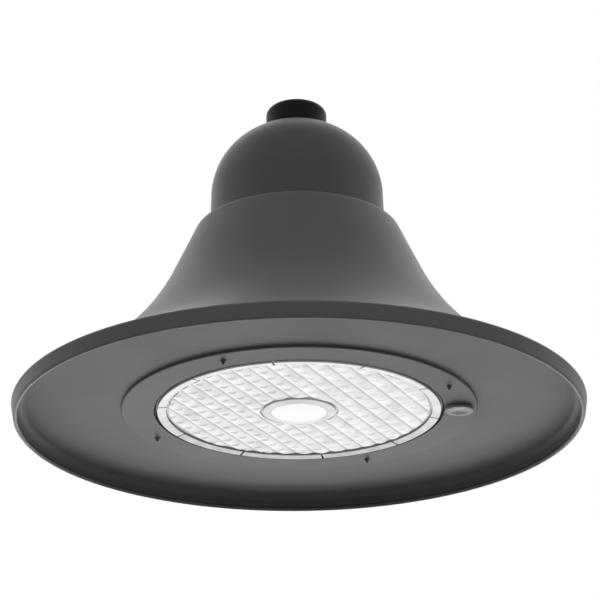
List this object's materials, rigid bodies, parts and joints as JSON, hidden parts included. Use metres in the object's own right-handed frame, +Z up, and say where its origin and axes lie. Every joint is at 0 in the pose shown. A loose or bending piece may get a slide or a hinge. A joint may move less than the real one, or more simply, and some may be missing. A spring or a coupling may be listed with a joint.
{
  "type": "bell area light",
  "caption": "Pendant area light: a spun bell shade under a cast dome with a tapped pipe hub, and a round door below that holds a moulded cell lens, a centre cap and a sensor plug.",
  "frame": {"origin": "on the hub axis at the foot of the lip, the lowest point of the part", "axes": "+Z up along the hub axis, towards the pipe; the light leaves along -Z; +X towards the sensor plug, 3 degrees off it"},
  "size_m": [0.61, 0.6098, 0.3762],
  "materials": {
    "housing_paint": "satin grey powder coat",
    "dome_paint": "satin grey powder coat on a casting",
    "hub_black": "fine black powder coat",
    "plate_paint": "satin light grey coat",
    "door_paint": "satin light grey coat",
    "lens_acrylic": "clear frosted acrylic",
    "cap_white": "white diffusing plastic",
    "plug_plastic": "light grey moulding",
    "seal_rubber": "black moulded rubber",
    "dark_screw": "black oxide",
    "zinc_steel": "zinc plated",
    "bare_aluminium": "as cast",
    "board_green": "solder mask on an aluminium board",
    "emitter_yellow": "phosphor under silicone",
    "surge_red": "moulded case",
    "block_ivory": "moulded block",
    "ground_green": "green dyed steel",
    "lead_red": "insulated wire"
  },
  "bodies": {
    "root": {"bell_shade": "housing_paint", "dome_housing": "dome_paint", "dome_gasket": "seal_rubber", "dome_bolts": "zinc_steel", "hub_coupling": "hub_black", "hub_gasket": "seal_rubber", "hub_locknut": "zinc_steel", "hub_set_screw": "dark_screw", "face_plate": "plate_paint", "rim_seal": "seal_rubber", "optic_door": "door_paint", "door_gasket": "seal_rubber", "door_screws": "door_paint", "optic_lens": "lens_acrylic", "lens_gasket": "seal_rubber", "centre_cap": "cap_white", "sensor_plug": "plug_plastic", "plug_gasket": "seal_rubber", "plug_nut": "zinc_steel", "heat_sink": "bare_aluminium", "led_board": "board_green", "led_chips": "emitter_yellow", "board_screws": "dark_screw", "gear_tray": "zinc_steel", "tie_posts": "zinc_steel", "post_screws": "zinc_steel", "led_driver": "bare_aluminium", "surge_protector": "surge_red", "terminal_block": "block_ivory", "gear_screws": "dark_screw", "ground_screw": "ground_green", "wire_grommet": "seal_rubber", "board_leads": "lead_red"}
  },
  "joints": []
}
